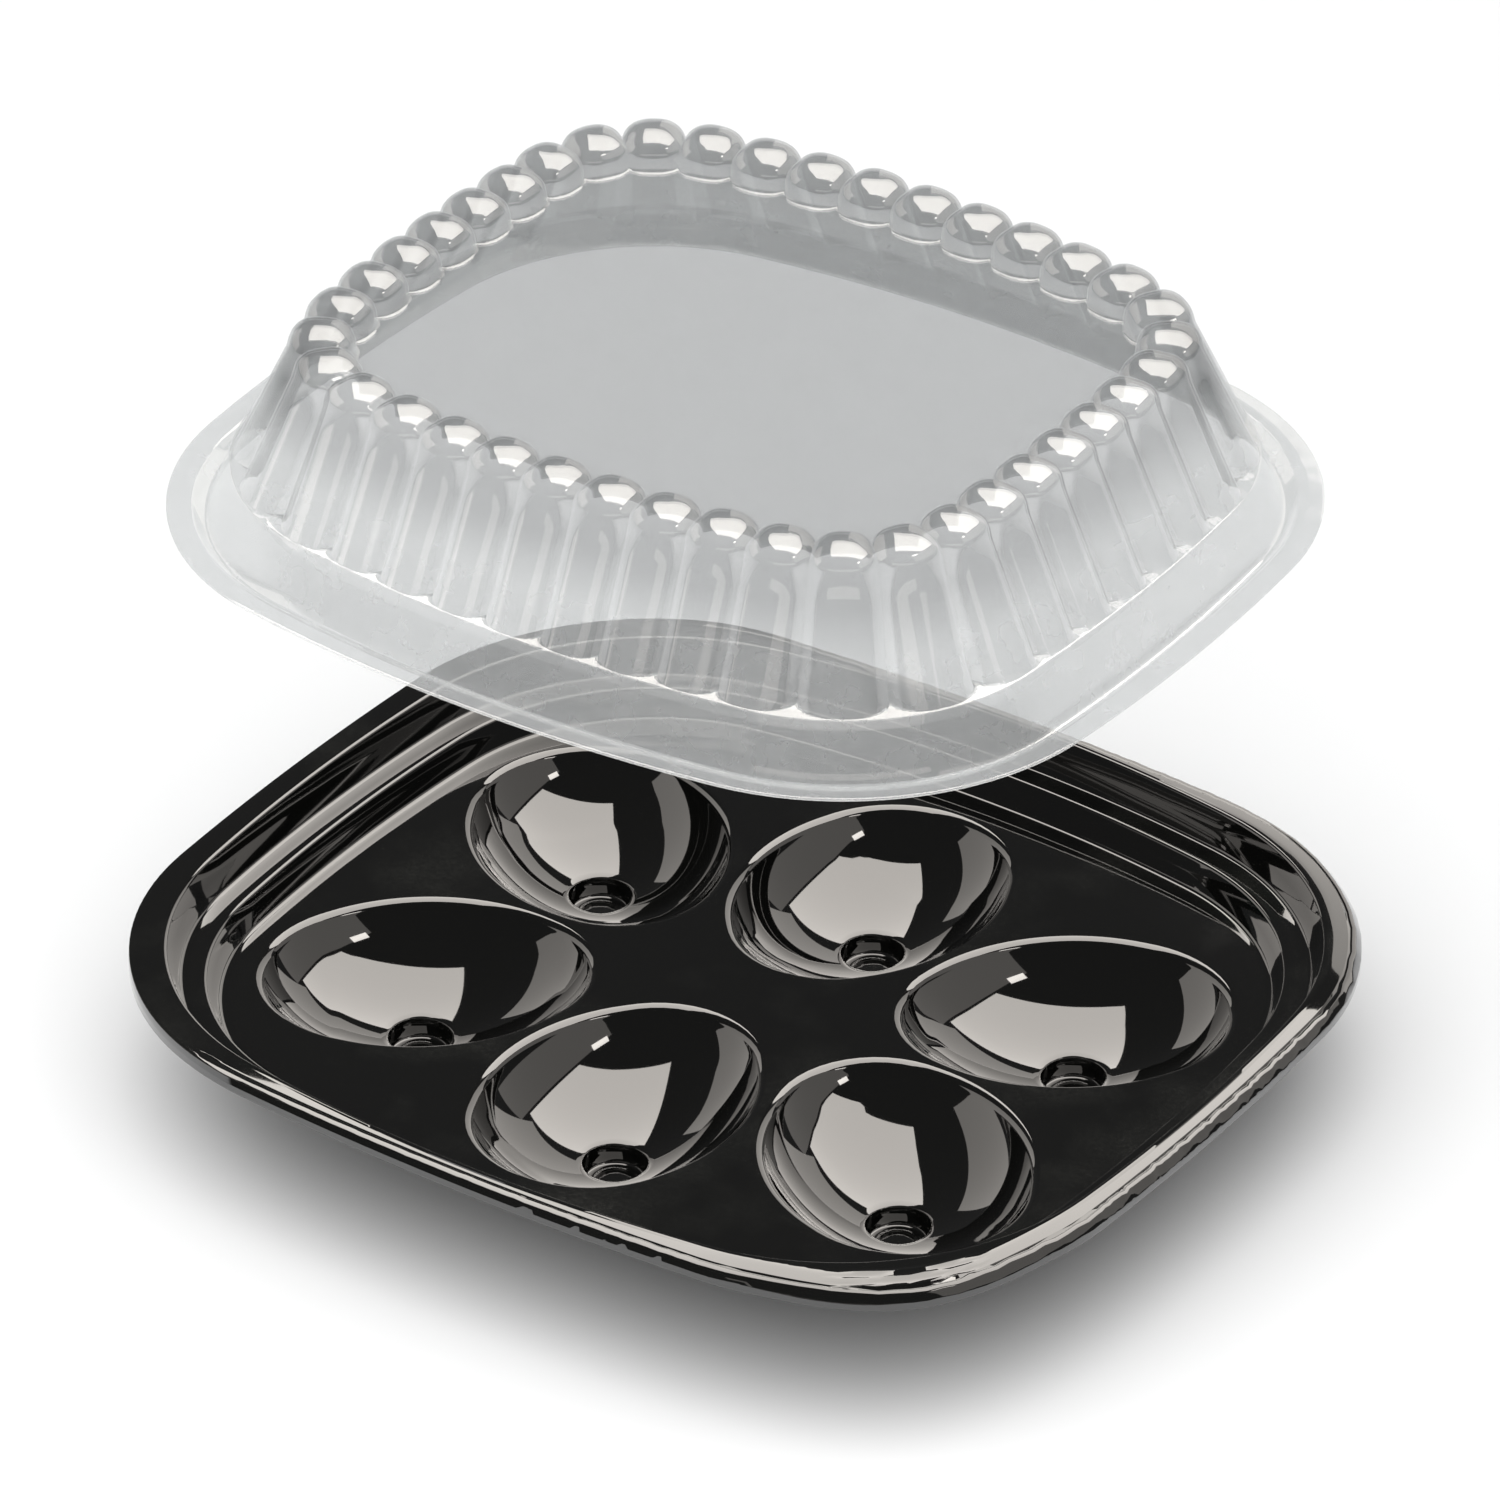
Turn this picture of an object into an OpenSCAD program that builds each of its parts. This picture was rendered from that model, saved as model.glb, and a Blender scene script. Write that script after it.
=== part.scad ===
// Egg tray with a fluted dome lid: two thermoformed sheets.
// The tray holds six half eggs in a ring; the lid drops into the recess of its rim.
// Millimetres, +Z up, origin under the middle of the tray, on the surface that it stands on.

/* [Tray] */
// Length of the tray over its flange
tray_l = 200; // [198:1:230]
// Width of the tray over its flange
tray_w = 180; // [178:1:210]
// Corner radius of the flange
flange_corner = 56; // [50:1:60]
// Radius that bows each side of the flange
flange_bow = 600; // [450:10:1200]
// Width of the flange at the middle of each short side
flange_end = 5.1; // [4:0.1:7]
// Width of the flange at the middle of each long side
flange_side = 4.1; // [3.4:0.1:6]
// Depth of the lip turned down round the flange
lip_drop = 2.5; // [1.5:0.1:4]
// Thickness of the tray's sheet
tray_sheet = 0.6; // [0.4:0.05:0.8]

/* [Recess] */
// Corner radius of the recess that takes the lid
recess_corner = 54; // [50:1:57]
// Radius that bows the long sides of the recess
recess_bow_long = 300; // [270:5:340]
// Radius that bows the short sides of the recess
recess_bow_short = 380; // [330:5:430]
// Depth of the lid's ledge under the flange
ledge_drop = 6.8; // [6:0.1:9]
// Run of the sloping wall above the ledge
wall_run = 2.1; // [1.6:0.1:3]
// Width of the ledge that carries the lid
ledge_w = 4.8; // [4.4:0.1:6]
// Drop from the ledge to the deck
step_drop = 5.2; // [4:0.1:6]
// Run of the step from the ledge to the deck
step_run = 2.1; // [1.8:0.1:2.6]

/* [Wells] */
// Length of the half egg that a well is made for
egg_l = 62; // [59:0.5:63]
// Radius of its fat end
egg_fat = 22.5; // [21.5:0.25:23.25]
// Radius of its small end
egg_small = 19.5; // [18:0.25:20.5]
// Radius of its long flank
egg_flank = 38; // [37:1:50]
// Depth of a well below the deck
well_depth = 14.3; // [13:0.1:16]
// Width of the stepped lip round each well
well_lip = 2.3; // [1.4:0.1:2.4]
// Depth of that step
lip_depth = 1; // [0.6:0.1:1.6]
// Turn of the four corner wells from the tray's length, in degrees
well_turn = 39; // [36:1:42]
// Gap from the corner wells' lips to the end of the deck
well_margin = 6.3; // [5.5:0.1:7]
// Gap from the middle wells' lips to the side of the deck
side_margin = 6.9; // [6.2:0.1:7.5]
// Gap between the lips of two neighbouring corner wells
well_gap = 1; // [0.6:0.1:2]

/* [Pockets] */
// Bore of the round pocket in each well's floor
pocket_d = 11.4; // [9:0.2:14]
// Depth of the pocket below the well's floor
pocket_depth = 3.6; // [2.4:0.1:6]
// Offset of the pocket towards the fat end
pocket_shift = 1.6; // [0:0.1:3]
// Diameter of the raised disc in the pocket's floor
punt_d = 8; // [5:0.2:8]
// Height of that disc
punt_rise = 0.8; // [0.4:0.1:1.2]

/* [Pull corner] */
// How far the pull corner reaches past the flange
tab_reach = 3; // [1.5:0.1:4]
// Half the turn over which the pull corner swells, in degrees
tab_span = 30; // [20:1:34]
// Number of grip ridges across it
grip_ridges = 3; // [1:1:3]
// Pitch of the grip ridges
grip_pitch = 1.7; // [1.4:0.1:2]
// Turn that a ridge takes, in degrees
grip_span = 26; // [16:1:30]
// Width of a ridge
grip_w = 0.8; // [0.6:0.1:1]
// Height of a ridge
grip_h = 0.5; // [0.3:0.1:0.8]
// Gap between the outermost ridge and the corner's edge
grip_margin = 1.4; // [1.2:0.1:2]

/* [Lid] */
// Thickness of the lid's sheet
lid_sheet = 0.45; // [0.35:0.05:0.55]
// Gap between the closed lid and the tray
lid_gap = 0.35; // [0.3:0.05:0.5]
// Width of the lid's flat lip
lid_lip = 4.6; // [4.4:0.1:5.2]
// Depth of the channel inside the lip
channel_drop = 2.8; // [2:0.1:3]
// Run of the channel's outer slope
channel_run = 2.3; // [2:0.1:2.8]
// Height of the smooth wall above the lip
wall_h = 8.4; // [6:0.1:11]
// Run of the smooth wall
smooth_run = 4.2; // [3.4:0.1:5]
// Height of the flutes' crowns above the lip
crown_h = 33.8; // [30:0.2:40]
// Inset of the crown ring from the lid's edge
crown_inset = 27.4; // [26:0.2:29]
// Radius over the flutes' crowns, and so the depth of the panel inside them
crown_r = 6; // [5.6:0.1:7]
// How far the lid is held above its closed place
lift = 98; // [60:1:140]

/* [Flutes] */
// Number of flute pitches along a long side
long_steps = 8; // [7:1:9]
// Number of flute pitches along a short side
short_steps = 6; // [5:1:7]
// Number of flute pitches round a corner
corner_steps = 3; // [3:1:4]
// Overlap of neighbouring flutes, as a share of their half pitch
flute_overlap = 1.1; // [1.08:0.01:1.16]

/* [Hidden] */
tray_colour = [0.09, 0.09, 0.085];
lid_colour = [0.85, 0.88, 0.9, 0.4];
ease = 0.1; // how far the egg's flank is drawn in, so that it crosses its end circles cleanly
lap = 1.2; // how far a formed edge runs into the flat sheet beside it

// Heights, from the surface that the tray stands on
deck_z = tray_sheet + pocket_depth + well_depth;
ledge_z = deck_z + step_drop;
rim_z = ledge_z + ledge_drop;
closed_z = ledge_z + lid_gap + lid_sheet;

// An outline is [half length, half width, long sides' radius, short sides' radius, corner radius]
flange_line = [tray_l / 2, tray_w / 2, flange_bow, flange_bow, flange_corner];
recess_line = [tray_l / 2 - flange_end, tray_w / 2 - flange_side,
    recess_bow_long, recess_bow_short, recess_corner];
deck_inset = wall_run + ledge_w + step_run;
deck_line = inset(recess_line, deck_inset);
lid_line = inset(recess_line, wall_run + lid_gap + 0.15);

// An outline moved inwards, with every arc kept on its centre
function inset(o, d) = [for (v = o) v - d];

function heading(v) = atan2(v[1], v[0]);
function on_circle(c, r, a) = c + r * [cos(a), sin(a)];

// Centre of the corner arc in the first quarter: it touches the two bows from inside
function corner_centre(o) =
    let (p = [0, o[1] - o[2]], q = [o[0] - o[3], 0], e = o[2] - o[4], f = o[3] - o[4],
        d = norm(q - p), a = (e * e - f * f + d * d) / (2 * d), u = (q - p) / d,
        s = p + a * u, v = sqrt(e * e - a * a) * [-u[1], u[0]])
    v[0] + v[1] > 0 ? s + v : s - v;

// The eight arcs of an outline, each [centre, radius, start angle, end angle, pitches of flutes]
function arcs(o) =
    let (c = corner_centre(o), north = [0, o[1] - o[2]], east = [o[0] - o[3], 0],
        a = heading(c - east), b = heading(c - north))
    [
        [east, o[3], -a, a, short_steps],
        [c, o[4], a, b, corner_steps],
        [north, o[2], b, 180 - b, long_steps],
        [[-c[0], c[1]], o[4], 180 - b, 180 - a, corner_steps],
        [-east, o[3], 180 - a, 180 + a, short_steps],
        [-c, o[4], 180 + a, 180 + b, corner_steps],
        [-north, o[2], 180 + b, 360 - b, long_steps],
        [[c[0], -c[1]], o[4], 360 - b, 360 - a, corner_steps],
    ];

// ---- Sections carried round an outline -----------------------------------------------------

function unit(v) = v / norm(v);
function left_of(v) = [-v[1], v[0]];
function before(p, i) = p[max(i, 1)] - p[max(i, 1) - 1];
function after(p, i) = p[min(i + 1, len(p) - 1)] - p[min(i + 1, len(p) - 1) - 1];
function turns_left(p, i) = cross(before(p, i), after(p, i)) > 0;
function reversed(p) = [for (i = [len(p) - 1:-1:0]) p[i]];

// A path moved to its left by t
function moved(p, t) = [for (i = [0:len(p) - 1])
    let (a = left_of(unit(before(p, i))), b = left_of(unit(after(p, i))), n = unit(a + b))
    p[i] + n * t / (n * a)];

// A corner of a path, cut where an arc of the radius r would begin and end
function bend(a, b, c, r) =
    let (u = unit(a - b), v = unit(c - b), back = r / tan(acos(u * v) / 2)) [b + back * u, b + back * v];
function rounded(p, radii) = [for (i = [0:len(p) - 1])
    each i == 0 || i == len(p) - 1 ? [p[i]] : bend(p[i - 1], p[i], p[i + 1], radii[i])];

// A formed sheet's path along its upper face, with its bends rounded, and the one along its underside
function upper(path, t, r) =
    rounded(path, [for (i = [0:len(path) - 1]) turns_left(path, i) ? r + t : r]);
function lower(path, t, r) =
    rounded(moved(path, t), [for (i = [0:len(path) - 1]) turns_left(path, i) ? r : r + t]);

// A ring of points round an outline, n to each arc's pitch, at the place [out, up] of a section
function ring(o, n, place) = [for (p = arcs(o), j = [0:p[4] * n - 1])
    let (c = on_circle(p[0], p[1] + place[0], p[2] + (p[3] - p[2]) * j / p[4] / n)) [c[0], c[1], place[1]]];

// The triangles between ring a and ring b, where b has as many points or twice as many
function band(a, n, b, twice) = [for (i = [0:n - 1]) let (i2 = (i + 1) % n)
    each !twice ? [[a + i, b + i, b + i2], [a + i, b + i2, a + i2]]
        : [[a + i, b + 2 * i, b + 2 * i + 1], [a + i2, b + 2 * i + 1, b + 2 * i2],
            [a + i, b + 2 * i + 1, a + i2]]];
function flipped(faces) = [for (f = faces) [f[2], f[1], f[0]]];
function starts(rings, k) = k == 0 ? 0 : starts(rings, k - 1) + len(rings[k - 1]);

// A closed body through rings: round and back to the first ring, or flat at both ends
module skin(rings, round) {
    n = len(rings);
    at = [for (k = [0:n - 1]) starts(rings, k)];
    first = [for (i = [0:len(rings[0]) - 1]) i];
    last = [for (i = [len(rings[n - 1]) - 1:-1:0]) at[n - 1] + i];
    bands = [for (k = [0:n - (round ? 1 : 2)])
        let (m = (k + 1) % n, a = len(rings[k]), b = len(rings[m]))
        each a <= b ? band(at[k], a, at[m], b > a) : flipped(band(at[m], b, at[k], true))];
    polyhedron([for (r = rings) each r], concat(bands, round ? [] : [first, last]));
}

// ---- Tray ----------------------------------------------------------------------------------

// The egg's profile: two end circles, and a flank arc round both
fat_x = egg_l / 2 - egg_fat;
small_x = egg_small - egg_l / 2;
flank = let (e = egg_flank - egg_fat, f = egg_flank - egg_small, d = fat_x - small_x,
    a = (e * e - f * f + d * d) / (2 * d)) [fat_x - a, -sqrt(e * e - a * a)];
egg_half = egg_flank - ease + flank[1];
// The egg's axis lies above the deck, so the deck cuts off its lower part
axis_up = egg_half - well_depth;
mouth_half_w = sqrt(egg_half * egg_half - axis_up * axis_up);
// The lip is a shallow step, cut by the same egg grown to the lip's width
lip_half_w = mouth_half_w + well_lip;
lip_grow = sqrt(lip_half_w * lip_half_w + axis_up * axis_up) - egg_half;
// How far the lip reaches from the egg's middle along a direction between 0 (fat end) and 180 degrees
function cut_at_deck(r) = sqrt(r * r - axis_up * axis_up);
function lip_reach(a) =
    let (r = egg_flank - ease + lip_grow, first = heading([fat_x, 0] - flank), last = heading([small_x, 0] - flank))
    max(concat(
        [fat_x * cos(a) + cut_at_deck(egg_fat + lip_grow), small_x * cos(a) + cut_at_deck(egg_small + lip_grow)],
        [for (k = [0:20]) let (q = on_circle(flank, r, first + (last - first) * k / 20))
            q[0] * cos(a) + cut_at_deck(q[1]) * sin(a)]));
corner_well = [deck_line[0] - well_margin - lip_reach(well_turn), well_gap / 2 + lip_reach(90 + well_turn)];
side_well_y = deck_line[1] - side_margin - lip_reach(0);

// Puts a well at each of its six places, fat end outwards
module at_wells() {
    for (sx = [-1, 1], sy = [-1, 1])
        translate([sx * corner_well[0], sy * corner_well[1], deck_z])
            rotate(sx > 0 ? sy * well_turn : 180 - sy * well_turn) children();
    for (sy = [-1, 1])
        translate([0, sy * side_well_y, deck_z]) rotate(sy * 90) children();
}

// Half of the egg's outline, grown by g
module half_egg(g) {
    far = 3 * egg_l;
    a = unit([fat_x, 0] - flank);
    b = unit([small_x, 0] - flank);
    intersection() {
        union() {
            translate([fat_x, 0]) circle(egg_fat + g, $fn = 48);
            translate([small_x, 0]) circle(egg_small + g, $fn = 48);
            intersection() {
                translate(flank) circle(egg_flank - ease + g, $fn = 96);
                polygon([flank, flank + far * a, flank + far * b]);
            }
        }
        translate([-far, 0]) square([2 * far, far]);
    }
}

// The lower part of the egg grown by g, between two levels that are measured from the deck
module egg(g, low, high) {
    intersection() {
        translate([0, 0, axis_up]) rotate([0, 90, 0])
            rotate_extrude($fn = 48) mirror([1, 0]) rotate(90) half_egg(g);
        translate([-egg_l, -egg_l, low]) cube([2 * egg_l, 2 * egg_l, high - low]);
    }
}

// A half egg and the step of its lip, grown by g, up to a level
module well(g, high) {
    egg(g, -2 * well_depth, high);
    egg(lip_grow + g, -lip_depth - g, high);
}

// A ring round the flange's outline, which swells at the pull corner
function flange_ring(out, up) = [for (k = [0:7], p = [arcs(flange_line)[k]], j = [0:p[4] * 3 - 1])
    let (a = p[2] + (p[3] - p[2]) * j / p[4] / 3, off = abs(a - (p[2] + p[3]) / 2) / tab_span,
        c = on_circle(p[0], p[1] + out + (k == 7 && off < 1 ? tab_reach * (1 + cos(180 * off)) / 2 : 0), a))
    [c[0], c[1], up]];

// Ridges across the pull corner, one inside the other
module grip() {
    c = corner_centre(flange_line);
    p = arcs(flange_line)[7];
    translate([c[0], -c[1], rim_z - tray_sheet / 2]) for (i = [0:grip_ridges - 1])
        rotate((p[2] + p[3]) / 2 - grip_span / 2)
            rotate_extrude(angle = grip_span, $fn = 180)
                translate([flange_corner + tab_reach * 0.6 - grip_margin - i * grip_pitch - grip_w, 0])
                    square([grip_w, tray_sheet / 2 + grip_h]);
}

// From the flange down the wall, over the ledge and down the step to the deck
recess_path = [
    [lap, rim_z],
    [0, rim_z],
    [-wall_run, ledge_z],
    [-wall_run - ledge_w, ledge_z],
    [-deck_inset, deck_z],
    [-deck_inset - lap, deck_z],
];

// The flange, the lip turned down round it, and the recess, as one formed sheet
module rim() {
    t = tray_sheet;
    down = upper(recess_path, t, 0.6);
    back = lower(recess_path, t, 0.6);
    skin(concat(
        [for (i = [len(back) - 1:-1:1]) ring(recess_line, 3, back[i])],
        [for (q = [[-2 * t, -t], [-t, -2 * t], [-t, -lip_drop], [0, -lip_drop], [0, -2 * t], [-2 * t, 0]])
            flange_ring(q[0], rim_z + q[1])],
        [for (i = [1:len(down) - 1]) ring(recess_line, 3, down[i])]), true);
}

module pocket(d, z) {
    translate([pocket_shift, 0, z - deck_z]) cylinder(d = d, h = well_depth / 2 - z + tray_sheet + pocket_depth);
}

module tray() {
    color(tray_colour) {
        rim();
        grip();
        difference() {
            union() {
                translate([0, 0, deck_z - tray_sheet]) linear_extrude(tray_sheet)
                    polygon([for (v = ring(deck_line, 3, [-lap / 2, 0])) [v[0], v[1]]]);
                at_wells() {
                    well(tray_sheet, -tray_sheet / 2);
                    pocket(pocket_d + 2 * tray_sheet, 0);
                }
            }
            at_wells() {
                well(0, 1);
                difference() {
                    pocket(pocket_d, tray_sheet);
                    translate([pocket_shift, 0, -deck_z]) cylinder(d = punt_d, h = tray_sheet + punt_rise);
                }
                translate([pocket_shift, 0, -deck_z - 1]) cylinder(d = punt_d - 2 * tray_sheet, h = 1 + punt_rise);
            }
        }
    }
}

// ---- Lid -----------------------------------------------------------------------------------

// From the lip's edge inwards: flat lip, channel, smooth wall
channel_in = lid_lip + channel_run;
wall_in = channel_in + smooth_run;
lid_path = [[0, 0], [-lid_lip, 0], [-channel_in, -channel_drop], [-wall_in, wall_h]];

// The flutes' outer line: up from the wall's edge, then over the crown and down to the panel
sill = 0.4;
crown = [-crown_inset, crown_h - crown_r];
foot = [-wall_in - sill, wall_h];
lean = heading(crown - foot) - asin(crown_r / norm(crown - foot));
panel_z = crown[1];

// A ring across the flutes at a place on their outer line, sunk along the way in; t is the sheet
function fluted(place, way, t) = [for (p = arcs(lid_line), j = [0:p[4] * 6 - 1])
    let (w = 1 - abs(1 - (j % 6) / 3), r = (p[1] + place[0]) * PI / 360 * (p[3] - p[2]) / p[4] * flute_overlap,
        q = place + (r * (1 - sqrt(1 - pow(w / flute_overlap, 2))) + t * (1 + w)) * way,
        c = on_circle(p[0], p[1] + q[0], p[2] + (p[3] - p[2]) * j / p[4] / 6))
    [c[0], c[1], q[1]]];
function over(t) = [for (a = [0:4])
    let (n = [cos((lean - 90) * (1 - a / 4) + 180 * a / 4), sin((lean - 90) * (1 - a / 4) + 180 * a / 4)])
    fluted(crown + crown_r * n, -n, t)];

module lid() {
    color(lid_colour) translate([0, 0, closed_z + lift]) {
        top = [for (p = upper(lid_path, lid_sheet, 0.5)) ring(lid_line, 3, p)];
        under = [for (p = lower(lid_path, lid_sheet, 0.5)) ring(lid_line, 3, p)];
        inward = [-1 / sin(lean), 0];
        panel = [for (v = over(lid_sheet)[4]) [v[0], v[1], panel_z - lid_sheet]];
        skin(concat([panel], [for (a = [3:-1:0]) over(lid_sheet)[a]], [fluted(foot - [0, lid_sheet], inward, lid_sheet)],
            reversed(under), top, [fluted(foot, inward, 0)], over(0)), false);
    }
}

tray();
lid();
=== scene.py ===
"""A black egg tray with six wells and a clear fluted dome lid, dressed over its CAD frame.

Both pieces are formed from plastic sheet. Each is drawn here as one fine surface that follows
the same outline and section as its CAD solid, is given its sheet's thickness, and is finished
in a material of its own. Sizes are in millimetres, and turn to metres where a vertex is placed.
"""

import logging
import math
from dataclasses import dataclass, field
from enum import Enum
from typing import Callable, Sequence

import bmesh
import bpy
from mathutils import Matrix, Vector


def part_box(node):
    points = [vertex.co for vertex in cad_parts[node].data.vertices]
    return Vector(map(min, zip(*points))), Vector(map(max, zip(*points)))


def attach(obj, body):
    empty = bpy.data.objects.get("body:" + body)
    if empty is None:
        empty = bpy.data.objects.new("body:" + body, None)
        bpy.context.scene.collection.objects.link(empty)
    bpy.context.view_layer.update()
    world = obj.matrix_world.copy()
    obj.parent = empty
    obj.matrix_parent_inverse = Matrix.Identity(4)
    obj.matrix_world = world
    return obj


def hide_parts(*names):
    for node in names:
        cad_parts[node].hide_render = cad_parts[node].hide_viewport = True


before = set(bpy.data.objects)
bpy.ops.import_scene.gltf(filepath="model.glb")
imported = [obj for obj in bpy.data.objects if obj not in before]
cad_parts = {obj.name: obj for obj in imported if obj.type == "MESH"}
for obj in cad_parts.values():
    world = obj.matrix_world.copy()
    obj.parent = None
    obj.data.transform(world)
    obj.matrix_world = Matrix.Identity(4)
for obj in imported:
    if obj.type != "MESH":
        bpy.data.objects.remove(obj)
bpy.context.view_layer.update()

MM = 0.001
log = logging.getLogger("egg_tray")

Point = tuple[float, float, float]
Place = tuple[float, float]
Span = tuple[float, float]
Piece = bpy.types.Object
Material = bpy.types.Material
Socket = bpy.types.NodeSocket

# how close in metres two heights lie for them to count as one
LEVEL = 1e-6


# ---- Working with Blender's tools --------------------


def linear(code: str) -> tuple[float, float, float, float]:
    """Turn an sRGB hex colour into Blender's linear one.

    Args:
        code: Six hex digits, such as "1a1a18".

    Returns:
        Linear red, green and blue, with an alpha of 1.
    """
    parts = [int(code[i : i + 2], 16) / 255 for i in (0, 2, 4)]
    red, green, blue = (v / 12.92 if v <= 0.04045 else ((v + 0.055) / 1.055) ** 2.4 for v in parts)
    return red, green, blue, 1.0


def deselect() -> None:
    """Leave edit mode and let go of every object."""
    if bpy.context.object and bpy.context.object.mode != "OBJECT":
        bpy.ops.object.mode_set(mode="OBJECT")
    bpy.ops.object.select_all(action="DESELECT")


def hold(*pieces: Piece) -> Piece:
    """Select only the given pieces and make the first one active.

    Args:
        pieces: The pieces to hold.

    Returns:
        The active piece.
    """
    deselect()
    for piece in pieces:
        piece.select_set(True)
    bpy.context.view_layer.objects.active = pieces[0]
    return pieces[0]


def wrapped_grid(name: str, rows: Sequence[Sequence[Point]]) -> Piece:
    """Lay a grid, wrap it round a ring of stations and close its seam.

    Args:
        name: The new piece's name.
        rows: Rings of points in millimetres, outermost first, each with one point a station.

    Returns:
        The open, tube-like surface.
    """
    around = len(rows[0])
    deselect()
    bpy.ops.mesh.primitive_grid_add(x_subdivisions=around, y_subdivisions=len(rows) - 1, size=2)
    piece = bpy.context.object
    piece.name = piece.data.name = name
    for vertex in piece.data.vertices:
        column = round((vertex.co.x + 1) / 2 * around)
        row = round((vertex.co.y + 1) / 2 * (len(rows) - 1))
        vertex.co = Vector(rows[row][column % around]) * MM
    bpy.ops.object.mode_set(mode="EDIT")
    bpy.ops.mesh.select_all(action="SELECT")
    bpy.ops.mesh.remove_doubles(threshold=1e-7)
    bpy.ops.object.mode_set(mode="OBJECT")
    return piece


def cap_ring(piece: Piece, chosen: Callable[[Vector], bool], many: bool = False) -> None:
    """Close open loops of a surface with flat faces.

    Args:
        piece: The surface.
        chosen: Says whether a vertex, in metres, lies on the loops to close.
        many: True where one flat face lies between several loops.
    """
    hold(piece)
    bpy.ops.object.mode_set(mode="EDIT")
    bpy.ops.mesh.select_mode(type="EDGE")
    bpy.ops.mesh.select_all(action="DESELECT")
    shape = bmesh.from_edit_mesh(piece.data)
    for edge in shape.edges:
        if edge.is_boundary and all(chosen(v.co) for v in edge.verts):
            edge.select = True
    bmesh.update_edit_mesh(piece.data)
    if many:
        bpy.ops.mesh.fill(use_beauty=True)
    else:
        bpy.ops.mesh.edge_face_add()
    bpy.ops.object.mode_set(mode="OBJECT")


def face_up(piece: Piece, level: float) -> None:
    """Make an open sheet's faces agree, with the flat ones at a level facing up.

    Args:
        piece: The sheet.
        level: Height of a flat part of it, in metres.
    """
    hold(piece)
    bpy.ops.object.mode_set(mode="EDIT")
    bpy.ops.mesh.select_all(action="SELECT")
    bpy.ops.mesh.normals_make_consistent(inside=False)
    bpy.ops.object.mode_set(mode="OBJECT")
    facing = 0.0
    for face in piece.data.polygons:
        if abs(face.center.z - level) < 10 * LEVEL and abs(face.normal.z) > 0.99:
            facing += face.normal.z * face.area
    if facing < 0:
        bpy.ops.object.mode_set(mode="EDIT")
        bpy.ops.mesh.flip_normals()
        bpy.ops.object.mode_set(mode="OBJECT")


def thicken(piece: Piece, sheet: float) -> None:
    """Give a surface its sheet's thickness below its outer face, and smooth its shading.

    Args:
        piece: The surface.
        sheet: The thickness in millimetres.
    """
    hold(piece)
    wall = piece.modifiers.new("wall", "SOLIDIFY")
    wall.thickness = sheet * MM
    wall.offset = -1
    wall.use_even_offset = False
    bpy.ops.object.modifier_apply(modifier=wall.name)
    bpy.ops.object.shade_smooth_by_angle(angle=math.radians(50))


# ---- Outlines and sections --------------------


@dataclass(frozen=True)
class Arc:
    """One arc of an outline, with as many flute pitches as the lid has along it."""

    centre: Place
    radius: float
    start: float
    end: float
    pitches: int

    def at(self, share: float, out: float) -> Place:
        """Give a point of the arc, moved outwards.

        Args:
            share: How far along the arc the point lies, from 0 to 1.
            out: How far the arc is moved outwards.

        Returns:
            The point in plan.
        """
        angle = self.angle(share)
        reach = self.radius + out
        return self.centre[0] + reach * math.cos(angle), self.centre[1] + reach * math.sin(angle)

    def angle(self, share: float) -> float:
        """Give the direction from the arc's centre at a share of it, in radians."""
        return self.start + (self.end - self.start) * share

    def off_middle(self, share: float) -> float:
        """Give how far a share of the arc lies from its middle, in degrees."""
        return abs(share - 0.5) * math.degrees(self.end - self.start)

    def half_pitch(self, out: float) -> float:
        """Give half the width of a flute's pitch on the arc moved outwards by a distance."""
        return (self.radius + out) * (self.end - self.start) / self.pitches / 2


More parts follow.
